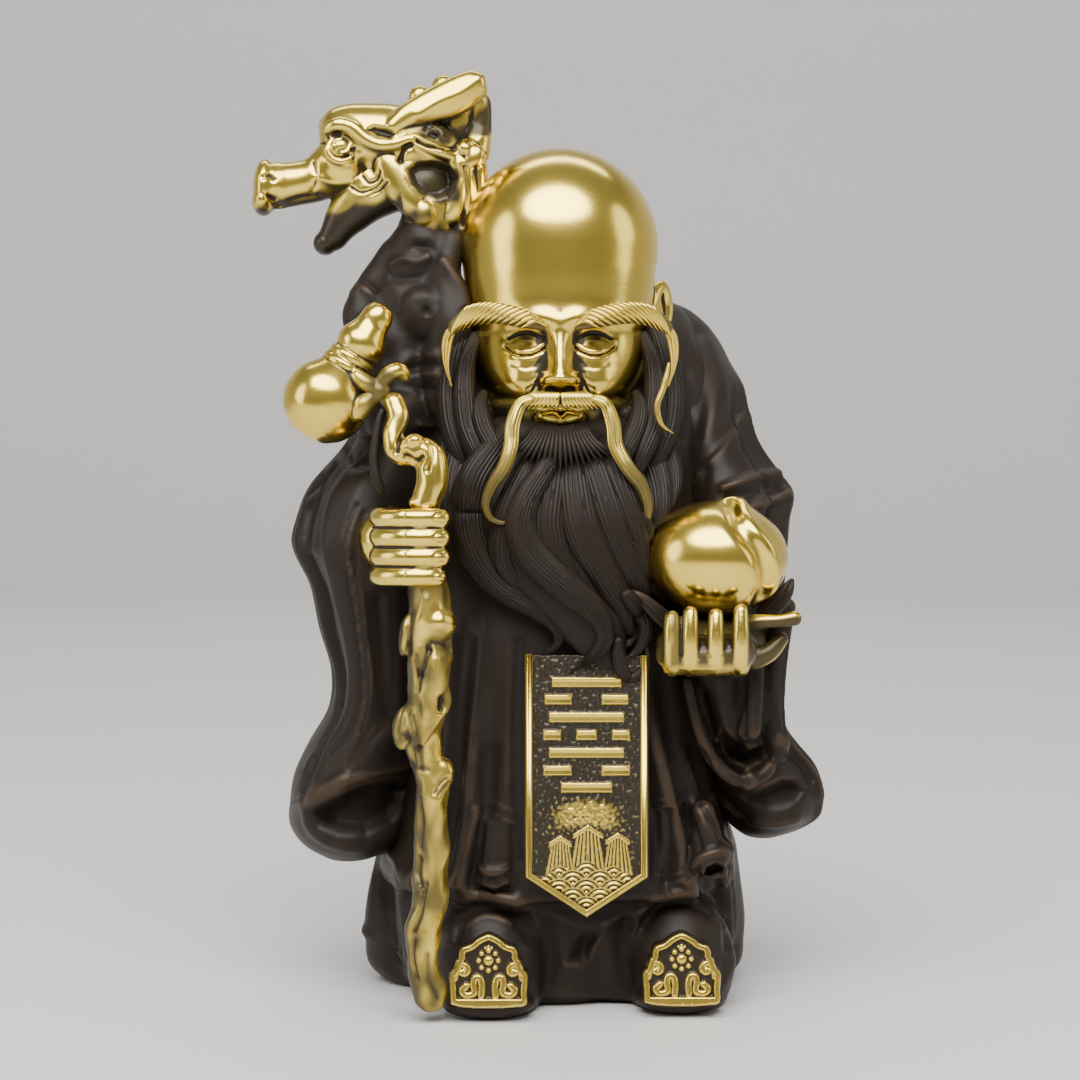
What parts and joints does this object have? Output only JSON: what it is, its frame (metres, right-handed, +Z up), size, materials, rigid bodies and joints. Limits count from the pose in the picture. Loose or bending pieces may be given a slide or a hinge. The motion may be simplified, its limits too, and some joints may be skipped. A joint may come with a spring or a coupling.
{
  "type": "shou lao figure",
  "caption": "Standing cast brass figure of a long-bearded old man with a tall bald head, a dragon-topped staff with a gourd, and a peach.",
  "frame": {"origin": "on the flat underside, below the middle of the robed body", "axes": "+Z up, from the underside to the dragon's horns; the figure looks towards -Y, with the staff on the -X side and the peach on the +X side"},
  "size_m": [0.1718, 0.1174, 0.2731],
  "materials": {
    "brown_patina": "dark chocolate-brown patina on cast brass, satin, worn to reddish brown on edges",
    "polished_brass": "bright polished brass on raised forms, dark brown patina left in hollows"
  },
  "bodies": {
    "root": {"figure": "brown_patina"}
  },
  "joints": []
}
